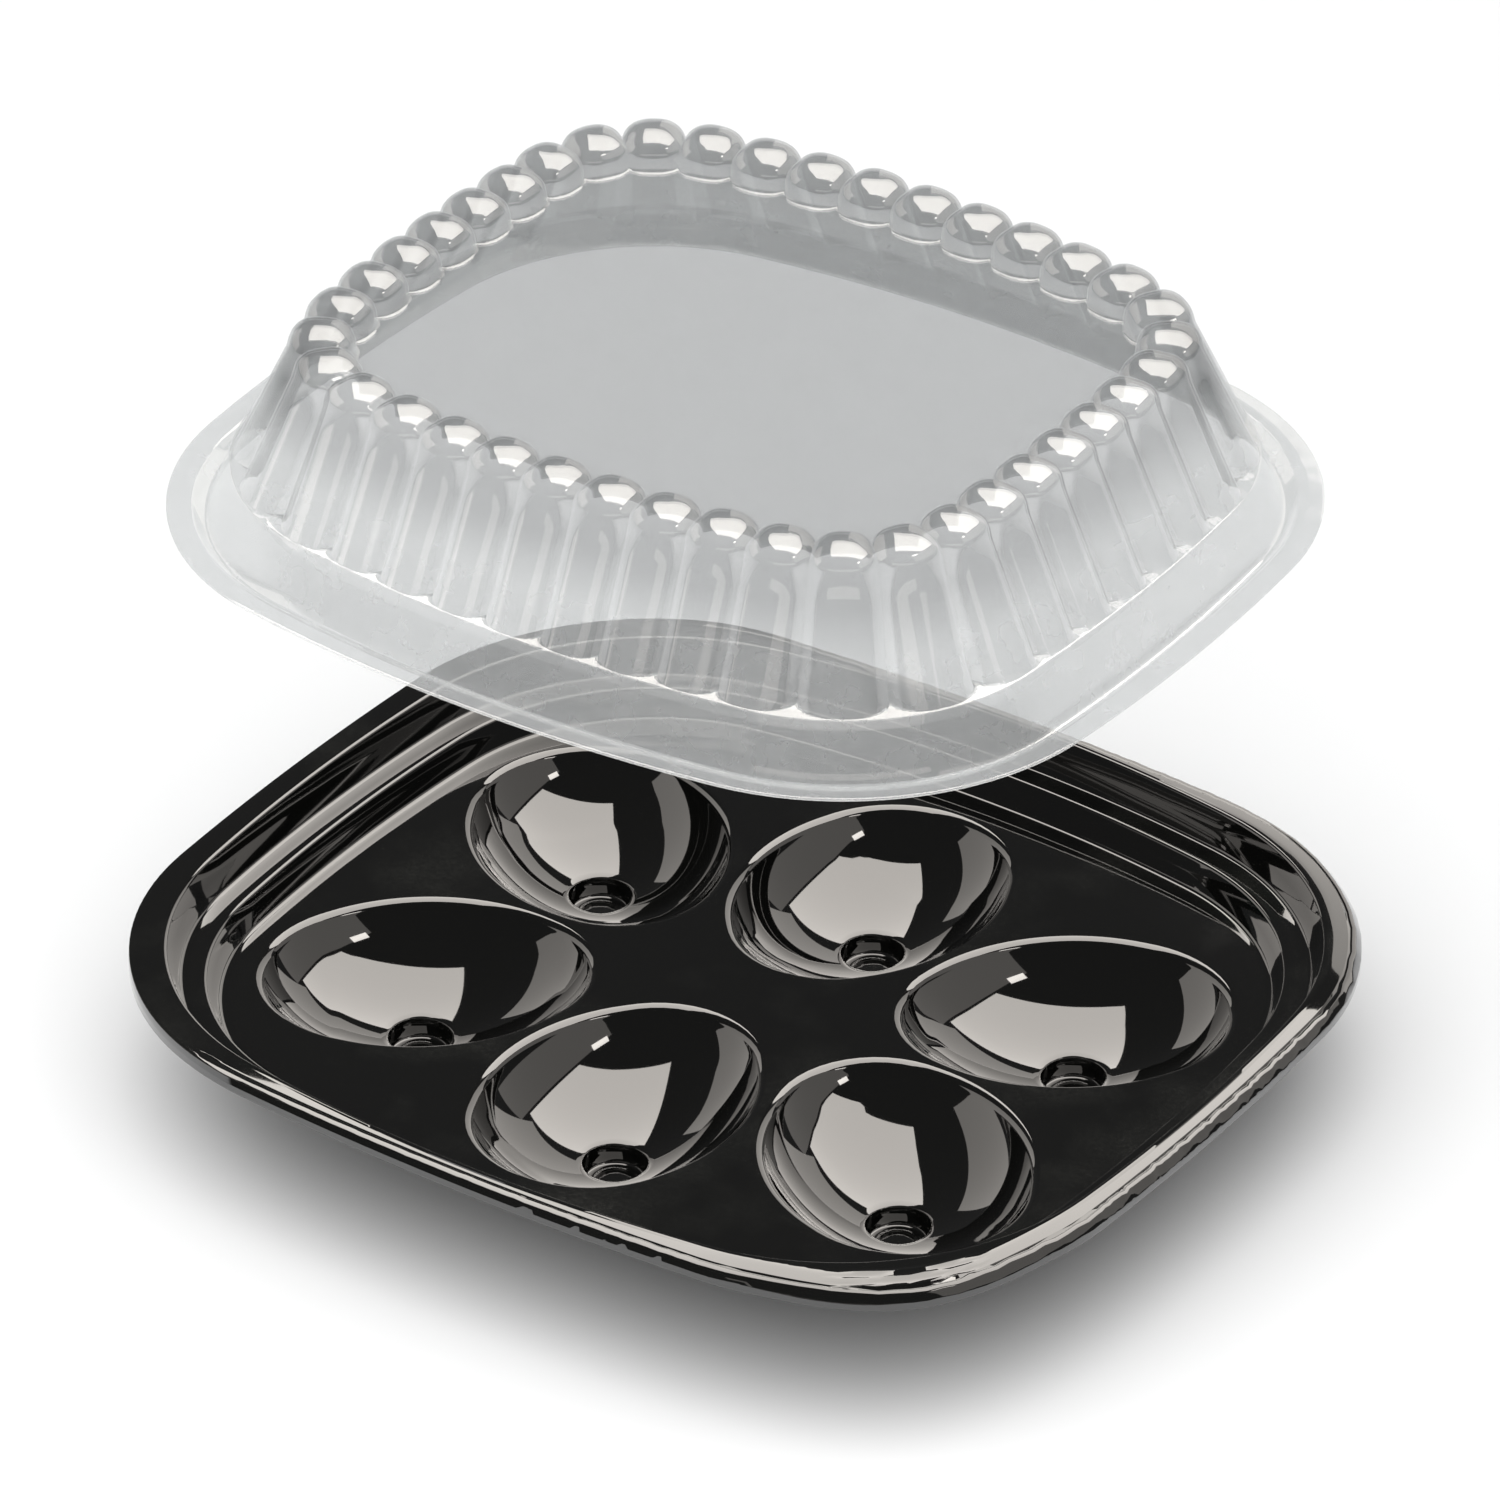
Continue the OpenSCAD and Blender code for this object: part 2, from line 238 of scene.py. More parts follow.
@dataclass(frozen=True)
class Outline:
    """A rectangle with bowed sides and round corners, made of eight touching arcs."""

    half_length: float
    half_width: float
    long_bow: float
    short_bow: float
    corner: float
    long_pitches: int = 8
    short_pitches: int = 6
    corner_pitches: int = 3

    def inset(self, distance: float) -> "Outline":
        """Move the outline inwards, with every arc kept on its centre.

        Args:
            distance: How far it is moved.

        Returns:
            The smaller outline.
        """
        return Outline(
            self.half_length - distance,
            self.half_width - distance,
            self.long_bow - distance,
            self.short_bow - distance,
            self.corner - distance,
        )

    def arcs(self) -> list[Arc]:
        """Work out the eight arcs, each touching its neighbours.

        Returns:
            The arcs, from the +X side round to the last corner.
        """
        north = Vector((0, self.half_width - self.long_bow))
        east = Vector((self.half_length - self.short_bow, 0))
        long_gap, short_gap = self.long_bow - self.corner, self.short_bow - self.corner
        span = (east - north).length
        along = (long_gap**2 - short_gap**2 + span**2) / (2 * span)
        unit = (east - north) / span
        side = math.sqrt(long_gap**2 - along**2)
        spots = [north + unit * along + Vector((-unit.y, unit.x)) * side * s for s in (1, -1)]
        c = max(spots, key=lambda v: v.x + v.y)
        low = math.atan2(c.y - east.y, c.x - east.x)
        high = math.atan2(c.y - north.y, c.x - north.x)
        half, whole = math.pi, 2 * math.pi
        lp, sp, cp = self.long_pitches, self.short_pitches, self.corner_pitches
        return [
            Arc((east.x, 0), self.short_bow, -low, low, sp),
            Arc((c.x, c.y), self.corner, low, high, cp),
            Arc((0, north.y), self.long_bow, high, half - high, lp),
            Arc((-c.x, c.y), self.corner, half - high, half - low, cp),
            Arc((-east.x, 0), self.short_bow, half - low, half + low, sp),
            Arc((-c.x, -c.y), self.corner, half + low, half + high, cp),
            Arc((0, -north.y), self.long_bow, half + high, whole - high, lp),
            Arc((c.x, -c.y), self.corner, whole - high, whole - low, cp),
        ]

    def stations(self, a_pitch: int) -> list[tuple[int, Arc, float]]:
        """List the stations round the outline.

        Args:
            a_pitch: Stations in each flute's pitch.

        Returns:
            For each station its arc's number, the arc, and its share along the arc.
        """
        return [
            (k, arc, j / (arc.pitches * a_pitch))
            for k, arc in enumerate(self.arcs())
            for j in range(arc.pitches * a_pitch)
        ]


def rounded(path: Sequence[Place], radii: Sequence[float], steps: int) -> list[Place]:
    """Round the corners of a section's path.

    Args:
        path: Corner points of the path.
        radii: A radius for each corner; those of the two ends are not used.
        steps: Points on each rounded corner, less one.

    Returns:
        The path with an arc in place of each inner corner.
    """
    out = [path[0]]
    for a, b, c, radius in zip(path, path[1:], path[2:], radii[1:]):
        u = (Vector(a) - Vector(b)).normalized()
        v = (Vector(c) - Vector(b)).normalized()
        half = math.acos(max(-1, min(1, u.dot(v)))) / 2
        back = radius / math.tan(half)
        middle = Vector(b) + (u + v).normalized() * radius / math.sin(half)
        start, end = Vector(b) + u * back - middle, Vector(b) + v * back - middle
        first = math.atan2(start.y, start.x)
        turn = (math.atan2(end.y, end.x) - first + math.pi) % (2 * math.pi) - math.pi
        for k in range(steps + 1):
            angle = first + turn * k / steps
            out.append((middle.x + radius * math.cos(angle), middle.y + radius * math.sin(angle)))
    out.append(path[-1])
    return out


def filled(path: Sequence[Place], longest: float) -> list[Place]:
    """Split the long runs of a path.

    Args:
        path: The path's points.
        longest: The greatest length that a run keeps.

    Returns:
        The path with more points on its long runs.
    """
    out = [path[0]]
    for a, b in zip(path, path[1:]):
        parts = max(1, math.ceil(math.dist(a, b) / longest))
        for k in range(1, parts + 1):
            out.append((a[0] + (b[0] - a[0]) * k / parts, a[1] + (b[1] - a[1]) * k / parts))
    return out


# ---- Finishes --------------------


@dataclass
class Nodes:
    """The shader nodes of a material or of the world."""

    tree: bpy.types.NodeTree

    def add(
        self, kind: str, settings: dict[str | int, object] | None = None, **links: Socket
    ) -> bpy.types.Node:
        """Add a node with its settings and links.

        Args:
            kind: The node's type.
            settings: Attributes, and values of inputs by name or number.
            links: The socket that feeds each input. An input is named with underscores for its
                spaces, or as i and its number.

        Returns:
            The new node.
        """
        node = self.tree.nodes.new(kind)
        for key, value in (settings or {}).items():
            if isinstance(key, str) and hasattr(node, key):
                setattr(node, key, value)
            else:
                node.inputs[key].default_value = value
        for key, socket in links.items():
            numbered = key[0] == "i" and key[1:].isdigit()
            target = node.inputs[int(key[1:]) if numbered else key.replace("_", " ")]
            self.tree.links.new(socket, target)
        return node

    def noise(self, place: Socket, grain: float, detail: float) -> Socket:
        """Add soft noise.

        Args:
            place: Each spot's Object coordinates.
            grain: The size of its grain in millimetres.
            detail: How much finer noise it carries.

        Returns:
            The noise, from 0 to 1.
        """
        settings = {"Scale": 1000 / grain, "Detail": detail}
        return self.add("ShaderNodeTexNoise", settings, Vector=place).outputs["Fac"]

    def ranged(self, value: Socket, source: Span, target: Span = (0.0, 1.0)) -> Socket:
        """Stretch one span of a value to another, and hold it at both ends.

        Args:
            value: The value.
            source: The span taken from it.
            target: The span given.

        Returns:
            The stretched value.
        """
        spans = {"From Min": source[0], "From Max": source[1], "To Min": target[0], "To Max": target[1]}
        return self.add("ShaderNodeMapRange", spans, Value=value).outputs["Result"]

    def blended(self, share: Socket, first: str, second: str) -> Socket:
        """Blend two hex colours, with the second one's share given."""
        colours = {"data_type": "RGBA", 6: linear(first), 7: linear(second)}
        return self.add("ShaderNodeMix", colours, i0=share).outputs[2]

    def product(self, first: Socket, second: Socket) -> Socket:
        """Multiply two values."""
        return self.add("ShaderNodeMath", {"operation": "MULTIPLY"}, i0=first, i1=second).outputs[0]

    def waved(self, height: Socket, depth: float, strength: float) -> Socket:
        """Tilt the surface by waves.

        Args:
            height: The waves' height, from 0 to 1.
            depth: Their depth in millimetres.
            strength: The tilt's share.

        Returns:
            The waved normal.
        """
        settings = {"Strength": strength, "Distance": depth * MM}
        return self.add("ShaderNodeBump", settings, Height=height).outputs["Normal"]


def fresh(name: str) -> Material:
    """Make an empty node material.

    Args:
        name: The finish's name.

    Returns:
        The material, with no nodes.
    """
    material = bpy.data.materials.new(name)
    material.use_nodes = True
    material.node_tree.nodes.clear()
    return material


def give_finish(piece: Piece, material: Material) -> None:
    """Give a piece its one material, and report it.

    Args:
        piece: The piece.
        material: Its material.
    """
    piece.data.materials.clear()
    piece.data.materials.append(material)
    log.info("%s: %d faces of %s", piece.name, len(piece.data.polygons), material.name)


@dataclass(frozen=True)
class BlackPolystyrene:
    """Black polystyrene sheet with a clear gloss cap, vacuum formed.

    The cap makes it mirror bright, and forming leaves a slow waviness, so that reflections keep
    crisp edges that wander a little. A faint dust dulls patches of the flat deck.
    """

    body: str = "070706"
    dust: str = "232320"
    index: float = 1.59
    gloss: float = 0.04
    dull: float = 0.14
    cap_gloss: float = 0.02
    wave_mm: float = 16.0
    wave_depth_mm: float = 0.4
    wave_strength: float = 0.12
    dust_mm: float = 26.0
    dust_lie: Span = (0.985, 0.999)
    dust_patch: Span = (0.5, 0.78)
    speck_mm: float = 0.7
    speck: Span = (0.35, 0.7)
    speck_least: float = 0.35

    def dusting(self, nodes: Nodes, place: Socket) -> Socket:
        """Work out how dusty each spot is.

        Args:
            nodes: The material's nodes.
            place: Each spot's Object coordinates.

        Returns:
            The dust's share, from 0 to 1.
        """
        # dust settles on what faces up: the deck, and not the walls of the wells
        lie = nodes.add("ShaderNodeNewGeometry").outputs["Normal"]
        tilt = nodes.add("ShaderNodeSeparateXYZ", Vector=lie).outputs["Z"]
        level = nodes.ranged(tilt, self.dust_lie)
        patch = nodes.ranged(nodes.noise(place, self.dust_mm, 3.0), self.dust_patch)
        speck = nodes.noise(place, self.speck_mm, 2.0)
        grain = nodes.ranged(speck, self.speck, (self.speck_least, 1.0))
        return nodes.product(nodes.product(level, patch), grain)

    def make(self) -> Material:
        """Build the material.

        Returns:
            The finished material.
        """
        material = fresh("black_polystyrene")
        nodes = Nodes(material.node_tree)
        place = nodes.add("ShaderNodeTexCoord").outputs["Object"]
        dusty = self.dusting(nodes, place)
        wave = nodes.noise(place, self.wave_mm, 1.0)
        slow = nodes.waved(wave, self.wave_depth_mm, self.wave_strength)
        skin = nodes.add(
            "ShaderNodeBsdfPrincipled",
            {
                "IOR": self.index,
                "Coat Weight": 1.0,
                "Coat IOR": self.index,
                "Coat Roughness": self.cap_gloss,
            },
            Base_Color=nodes.blended(dusty, self.body, self.dust),
            Roughness=nodes.ranged(dusty, (0.0, 1.0), (self.gloss, self.dull)),
            Normal=slow,
            Coat_Normal=slow,
        )
        nodes.add("ShaderNodeOutputMaterial", Surface=skin.outputs["BSDF"])
        return material


@dataclass(frozen=True)
class ClearPolystyrene:
    """Clear polystyrene sheet, oriented and vacuum formed.

    A thin sheet hardly bends what is seen through it, so it is drawn as a clear veil: it greys
    what lies behind it, adds its own pale haze, painted lighter on the lip and walls than on the panel
    as painted light, and mirrors lamps crisply, the more so at a slant.
    """

    tint: str = "f7f8f8"
    # painted light: the lighter haze of the lip and walls stands in for their highlights and the light
    # seen through them
    wall_haze_and_painted_light: str = "d8d9d9"
    panel_haze: str = "9fa0a1"
    panel_low: float = 139.0
    panel_high: float = 147.0
    cover: float = 0.4
    index: float = 1.8
    edge: float = 0.6
    gloss: float = 0.03
    wave_mm: float = 18.0
    wave_depth_mm: float = 0.4
    wave_strength: float = 0.2
    mottle_mm: float = 5.0
    mottle: Span = (0.3, 0.7)
    mottle_least: float = 0.93

    def haze(self, nodes: Nodes, place: Socket, slow: Socket) -> Socket:
        """Add the sheet's own pale haze, lit from either side, with painted light that makes it lighter
        on the lip and walls than on the panel.

        Args:
            nodes: The material's nodes.
            place: Each spot's Object coordinates.
            slow: The waved normal.

        Returns:
            The haze's shader.
        """
        # painted light: below the panel's height the lip and walls get a lighter haze than the panel on
        # top, which keeps the sheet's grey; the lighter haze stands in for the highlights and light
        # seen through their curved faces
        height = nodes.add("ShaderNodeSeparateXYZ", Vector=place).outputs["Z"]
        top = nodes.ranged(height, (self.panel_low * MM, self.panel_high * MM))
        haze_and_painted_light = nodes.blended(top, self.wall_haze_and_painted_light, self.panel_haze)
        noise = nodes.noise(place, self.mottle_mm, 3.0)
        cloudy = nodes.ranged(noise, self.mottle, (self.mottle_least, 1.0))
        times = {"data_type": "RGBA", "blend_type": "MULTIPLY", 0: 1.0}
        mottled_haze_and_painted_light = nodes.add("ShaderNodeMix", times, i6=haze_and_painted_light, i7=cloudy).outputs[2]
        near = nodes.add("ShaderNodeBsdfDiffuse", Color=mottled_haze_and_painted_light, Normal=slow).outputs["BSDF"]
        far = nodes.add("ShaderNodeBsdfTranslucent", Color=mottled_haze_and_painted_light, Normal=slow).outputs["BSDF"]
        return nodes.add("ShaderNodeMixShader", {"Fac": 0.5}, i1=near, i2=far).outputs["Shader"]

    def mirrored(self, nodes: Nodes, slow: Socket) -> Socket:
        """Work out how much of the veil mirrors, from its slant alone.

        Args:
            nodes: The material's nodes.
            slow: The waved normal.

        Returns:
            The mirrored share.
        """
        slant = nodes.add("ShaderNodeLayerWeight", {"Blend": 0.5}, Normal=slow).outputs["Facing"]
        steep = nodes.add("ShaderNodeMath", {"operation": "POWER", 1: 5.0}, i0=slant).outputs["Value"]
        straight = ((self.index - 1) / (self.index + 1)) ** 2
        return nodes.ranged(steep, (0.0, 1.0), (straight / self.cover, self.edge))

    def make(self) -> Material:
        """Build the material.

        Returns:
            The finished material.
        """
        material = fresh("clear_polystyrene")
        nodes = Nodes(material.node_tree)
        place = nodes.add("ShaderNodeTexCoord").outputs["Object"]
        wave = nodes.noise(place, self.wave_mm, 1.5)
        slow = nodes.waved(wave, self.wave_depth_mm, self.wave_strength)
        through = nodes.add("ShaderNodeBsdfTransparent", {"Color": linear(self.tint)})
        white = {"Color": (1, 1, 1, 1), "Roughness": self.gloss}
        mirror = nodes.add("ShaderNodeBsdfGlossy", white, Normal=slow)
        # what is mirrored comes out of the haze, so that a slanting wall stays as clear as a level one
        skin = nodes.add(
            "ShaderNodeMixShader",
            i0=self.mirrored(nodes, slow),
            i1=self.haze(nodes, place, slow),
            i2=mirror.outputs["BSDF"],
        )
        sheet = nodes.add(
            "ShaderNodeMixShader",
            {"Fac": self.cover},
            i1=through.outputs["BSDF"],
            i2=skin.outputs["Shader"],
        )
        nodes.add("ShaderNodeOutputMaterial", Surface=sheet.outputs["Shader"])
        return material


# ---- Tray --------------------


@dataclass
class EggWell:
    """A half-egg hollow with a rolled mouth and a round stepped pocket in its floor."""

    egg_length: float = 62.0
    fat: float = 22.5
    small: float = 19.5
    flank_radius: float = 38.0
    ease: float = 0.1
    depth: float = 14.3
    lip_width: float = 2.3
    roll: float = 2.0
    roll_turn: float = 63.5
    pocket_bore: float = 11.4
    pocket_depth: float = 3.6
    pocket_shift: float = 1.6
    pocket_edge: float = 0.45
    pocket_foot: float = 0.6
    disc: float = 8.0
    disc_rise: float = 0.8
    stations: int = 80
    roll_steps: int = 10
    bowl_steps: int = 28
    bowl_closing: float = 1.25
    farthest: float = 60.0
    halvings: int = 40

    def __post_init__(self) -> None:
        """Work out the egg's flank, its axis and its mouth."""
        self.fat_x = self.egg_length / 2 - self.fat
        self.small_x = self.small - self.egg_length / 2
        e, f = self.flank_radius - self.fat, self.flank_radius - self.small
        d = self.fat_x - self.small_x
        a = (e * e - f * f + d * d) / (2 * d)
        self.flank = (self.fat_x - a, -math.sqrt(e * e - a * a))
        self.half = self.flank_radius - self.ease + self.flank[1]
        self.axis_up = self.half - self.depth
        self.mouth = math.sqrt(self.half**2 - self.axis_up**2)
        self.grow = math.hypot(self.mouth + self.lip_width, self.axis_up) - self.half

    def lip_reach(self, angle: float) -> float:
        """Work out how far the lip reaches from the egg's middle.

        Args:
            angle: The direction in radians, from that of the fat end.

        Returns:
            The distance in millimetres.
        """
        cosine, sine = math.cos(angle), math.sin(angle)
        radius = self.flank_radius - self.ease + self.grow
        first = math.atan2(-self.flank[1], self.fat_x - self.flank[0])
        last = math.atan2(-self.flank[1], self.small_x - self.flank[0])

        def cut(size: float) -> float:
            """Give the half width that a circle of the egg leaves at the deck."""
            return math.sqrt(size * size - self.axis_up**2)

        reaches = [
            self.fat_x * cosine + cut(self.fat + self.grow),
            self.small_x * cosine + cut(self.small + self.grow),
        ]
        steps = 20
        for k in range(steps + 1):
            turn = first + (last - first) * k / steps
            x, y = self.flank[0] + radius * math.cos(turn), self.flank[1] + radius * math.sin(turn)
            reaches.append(x * cosine + cut(y) * sine)
        return max(reaches)

    def radius_at(self, x: float, grow: float = 0.0) -> float:
        """Work out the egg's radius at a place on its axis.

        Args:
            x: The place, from the egg's middle towards its fat end.
            grow: How far the egg is grown.

        Returns:
            The radius in millimetres.
        """
        flank = self.flank_radius - self.ease + grow
        best = 0.0
        for centre, radius in ((self.fat_x, self.fat + grow), (self.small_x, self.small + grow)):
            square = radius**2 - (x - centre) ** 2
            if square > 0:
                best = max(best, math.sqrt(square))
        e, f = self.flank_radius - self.fat, self.flank_radius - self.small
        high = self.flank[0] + flank * (self.fat_x - self.flank[0]) / e
        low = self.flank[0] + flank * (self.small_x - self.flank[0]) / f
        if low < x < high:
            best = max(best, self.flank[1] + math.sqrt(flank**2 - (x - self.flank[0]) ** 2))
        return best

    def drop(self, x: float, y: float) -> float:
        """Give the bowl's height at a place, from the deck, below zero inside the mouth."""
        square = self.radius_at(x) ** 2 - y * y
        return self.axis_up - math.sqrt(square) if square > 0 else self.axis_up

    def reach(self, angle: float, level: float, grow: float) -> float:
        """Find how far the egg reaches from the pocket's centre along a direction.

        Args:
            angle: The direction in radians.
            level: Depth below the deck at which the egg is cut.
            grow: How far the egg is grown.

        Returns:
            The distance in millimetres.
        """
        low, high = 0.0, self.farthest
        for _ in range(self.halvings):
            middle = (low + high) / 2
            x, y = self.pocket_shift + middle * math.cos(angle), middle * math.sin(angle)
            inside = self.radius_at(x, grow) ** 2 - (self.axis_up + level) ** 2 - y * y > 0
            low, high = (middle, high) if inside else (low, middle)
        return low

    def rows(self) -> list[list[Point]]:
        """Draw the well's rings in the egg's own frame.

        Returns:
            The rings, from the deck inwards and down.
        """
        rings: list[list[Point]] = []
        angles = [2 * math.pi * k / self.stations for k in range(self.stations)]
        lip = [self.reach(a, 0, self.grow) for a in angles]
        turn = math.radians(self.roll_turn)
        rolled = self.roll * (1 - math.cos(turn))
        mouth = [self.reach(a, rolled, 0) for a in angles]
        bore = self.pocket_bore / 2

        def ring(spots: Sequence[tuple[float, float]]) -> None:
            """Add a ring from a distance and height for each direction."""
            rings.append(
                [
                    (self.pocket_shift + d * math.cos(a), d * math.sin(a), z)
                    for a, (d, z) in zip(angles, spots)
                ]
            )

        # the edge of the mouth rolls over from the deck into the bowl
        ring([(d + 0.04, 0.0) for d in lip])
        for k in range(self.roll_steps + 1):
            part = turn * k / self.roll_steps
            ring([(d - self.roll * math.sin(part), -self.roll * (1 - math.cos(part))) for d in lip])
        # the bowl, spread a little at the top to meet the roll, with its rings closer there
        end = bore + self.pocket_edge
        for k in range(1, self.bowl_steps + 1):
            spots = []
            share = (k / self.bowl_steps) ** self.bowl_closing
            for a, b, c in zip(angles, mouth, lip):
                d = b + (end - b) * share
                top = c - self.roll * math.sin(turn)
                x, y = self.pocket_shift + d * math.cos(a), d * math.sin(a)
                spots.append((top + (end - top) * share, self.drop(x, y)))
            ring(spots)
        # the pocket: a rolled edge, a straight wall, a step, and a raised disc in its floor
        edge = [self.drop(self.pocket_shift + bore * math.cos(a), bore * math.sin(a)) for a in angles]
        floor = -self.depth - self.pocket_depth
        for out, down in ((0.2, 0.06), (0.05, 0.2), (0.0, self.pocket_edge)):
            ring([(bore + out, z - down) for z in edge])
        foot = floor + self.pocket_foot
        for share in (0.5, 1.0):
            ring([(bore, (z - self.pocket_edge) * (1 - share) + foot * share) for z in edge])
        disc = self.disc / 2
        for d, up in (
            (bore - 0.1, 0.35),
            (bore - 0.3, 0.12),
            (bore - self.pocket_foot, 0.0),
            (disc + 0.35, 0.0),
            (disc, 0.12),
            (disc - 0.4, 0.4),
            (disc - 0.8, self.disc_rise - 0.12),
            (disc - 1.2, self.disc_rise),
            (self.disc / 5, self.disc_rise),
        ):
            ring([(d, floor + up) for _ in angles])
        return rings

    def build(self, number: int, centre: Place, turn: float, deck: float) -> Piece:
        """Model one of the wells where it stands in the deck.

        Args:
            number: The well's number, for its name.
            centre: The egg's middle in plan.
            turn: The direction of its fat end, in radians.
            deck: The deck's height.

        Returns:
            The well, open at its mouth.
        """
        cosine, sine = math.cos(turn), math.sin(turn)
        cx, cy = centre
        placed = [
            [(cx + x * cosine - y * sine, cy + x * sine + y * cosine, deck + z) for x, y, z in ring]
            for ring in self.rows()
        ]
        well = wrapped_grid(f"well_{number}", placed)
        low = min(v.co.z for v in well.data.vertices)
        inner = self.disc_rise * MM + low
        cap_ring(well, lambda v: v.z < inner + 10 * LEVEL)
        return well


@dataclass
class Tray:
    """The black tray: flange, recess for the lid, deck and six wells in a ring."""

    length: float = 200.0
    width: float = 180.0
    flange_bow: float = 600.0
    flange_corner: float = 56.0
    flange_end: float = 5.1
    flange_side: float = 4.1
    recess_bows: Span = (300.0, 380.0)
    recess_corner: float = 54.0
    lip_drop: float = 2.5
    sheet: float = 0.6
    wall_run: float = 2.1
    ledge_drop: float = 6.8
    ledge_width: float = 4.8
    step_drop: float = 5.2
    step_run: float = 2.1
    deck_edge: Span = (1.2, 1.3)
    well_turn: float = 39.0
    well_margin: float = 6.3
    side_margin: float = 6.9
    well_gap: float = 1.0
    pull_corner: int = 7
    tab_reach: float = 3.0
    tab_span: float = 30.0
    bead: Span = (-2.4, -0.1)
    wander: float = 0.09
    wander_rate: float = 40.0
    wander_waves: tuple[Span, ...] = ((1.7, 0.0), (2.9, 1.0), (4.3, 0.0))
    ridges: int = 3
    ridge_pitch: float = 1.7
    ridge_width: float = 1.0
    ridge_height: float = 0.45
    ridge_span: float = 13.0
    ridge_fade: float = 1.5
    droop: float = 1.2
    droop_bend: float = 1.15
    slack_side: float = 5.0
    slack_spread: float = 1.3
    seat_gap: float = 0.5
    well: EggWell = field(default_factory=EggWell)
    finish: BlackPolystyrene = field(default_factory=BlackPolystyrene)
    a_pitch: int = 10
    across: int = 9

    def __post_init__(self) -> None:
        """Work out the outlines and heights."""
        length, width = self.length / 2, self.width / 2
        self.flange = Outline(length, width, self.flange_bow, self.flange_bow, self.flange_corner)
        self.recess = Outline(
            length - self.flange_end, width - self.flange_side, *self.recess_bows, self.recess_corner
        )
        self.deck = self.sheet + self.well.pocket_depth + self.well.depth
        self.ledge = self.deck + self.step_drop
        self.rim = self.ledge + self.ledge_drop
        self.deck_inset = self.wall_run + self.ledge_width + self.step_run

    def seat(self) -> Outline:
        """Give the outline of the lid that stands in the recess, a gap inside its wall's foot."""
        return self.recess.inset(self.wall_run + self.seat_gap)

    def swell(self, number: int, share: float) -> float:
        """Work out how far the pull corner reaches out.

        Args:
            number: The number of the flange outline's arc.
            share: A station's share along the arc.

        Returns:
            The reach in millimetres.
        """
        off = self.flange.arcs()[number].off_middle(share) / self.tab_span
        if number != self.pull_corner or off >= 1:
            return 0.0
        return self.tab_reach * (1 + math.cos(math.pi * off)) / 2

    def slack(self, angle: float) -> float:
        """Work out how slack the flange hangs.

        Args:
            angle: A direction in plan, in radians.

        Returns:
            A share that is 1 to the right and 0 to the left.
        """
        side = math.cos(angle - math.radians(self.slack_side))
        share = min(1.0, max(0.0, 0.5 + self.slack_spread * side))
        return share * share * (3 - 2 * share)

    def flange_rise(self, arc: Arc, number: int, share: float, out: float, edge: float) -> float:
        """Say how far the flange stands over its flat level at a place.

        Args:
            arc: The flange outline's arc at the station.
            number: The arc's number.
            share: The station's share along the arc.
            out: Place across the flange, from its plain outline.
            edge: Place of its edge at the station.

        Returns:
            The rise in millimetres, below zero where the sheet droops.
        """
        over = max(0.0, 1 + (out - edge) / self.flange_end)
        rise = -self.droop * self.slack(arc.angle(share)) * over**self.droop_bend
        off = arc.off_middle(share)
        if number == self.pull_corner and off < self.ridge_span:
            fade = min(1.0, (self.ridge_span - off) / self.ridge_fade)
            for k in range(self.ridges):
                away = abs(out + k * self.ridge_pitch) / (self.ridge_width / 2)
                if away < 1:
                    rise += self.ridge_height * fade * (1 + math.cos(math.pi * away)) / 2
        return rise

    def skirt(self) -> list[tuple[Place, Place]]:
        """Draw the flange's edge in section, from its hem up and in over the top.

        Returns:
            The points in pairs: where the flange is crisp, and where it is slack and rolled.
        """
        hem = [(0, -self.lip_drop), (-0.05, -1.2)]
        crisp = [*hem, (-0.2, 0.0), (-1.7, 0.0), (-2.1, -0.004), (-2.4, 0.0), (-2.7, 0.0)]
        slack = [*hem, (-1.2, 0.0), (-1.8, 0.0), (-2.15, -0.25), (-2.5, 0.0), (-2.7, 0.0)]
        crisp = rounded(crisp, [0, 0.2, 0.12, 0.01, 0.01, 0.01, 0], 3)
        slack = rounded(slack, [0, 0.5, 0.6, 0.15, 0.12, 0.15, 0], 3)
        return list(zip(crisp, slack))

    def stairs(self) -> list[Place]:
        """Draw the recess in section, from the flange down over the ledge to the deck.

        Returns:
            The points, out from the recess's outline and up from the rim.
        """
        ledge, deck = -self.ledge_drop, -self.ledge_drop - self.step_drop
        path = [(1.0, 0.0), (0.0, 0.0)]
        path += [(-self.wall_run - more, ledge) for more in (0.0, self.ledge_width)]
        path += [(-self.deck_inset - more, deck) for more in (0.0, *self.deck_edge)]
        return filled(rounded(path, [0, 0.7, 0.8, 0.7, 0.9, 0.01, 0], 5), 3.2)

    def rim_rows(self) -> list[list[Point]]:
        """Draw the rings of the flange and the recess.

        Returns:
            The rings, from the skirt in to the deck.
        """
        rows: list[list[Point]] = []
        outer = self.flange.stations(self.a_pitch)
        inner = self.recess.stations(self.a_pitch)
        swells = [self.swell(k, share) for k, _, share in outer]
        turns = [self.slack(arc.angle(share)) for _, arc, share in outer]
        skirt = self.skirt()
        for (out_a, up_a), (out_b, up_b) in skirt:
            ring = []
            for (k, arc, share), more, turn in zip(outer, swells, turns):
                out, up = out_a + (out_b - out_a) * turn, up_a + (up_b - up_a) * turn
                # the slack sheet's rolled edge wanders, but never past the outline
                if self.bead[0] < out < self.bead[1]:
                    along = (k + share) * self.wander_rate
                    waves = sum(math.sin(rate * along + shift) for rate, shift in self.wander_waves)
                    out = min(0.0, out + self.wander * turn * waves)
                rise = self.flange_rise(arc, k, share, out + more, more)
                ring.append((*arc.at(share, out + more), self.rim + up + rise))
            rows.append(ring)
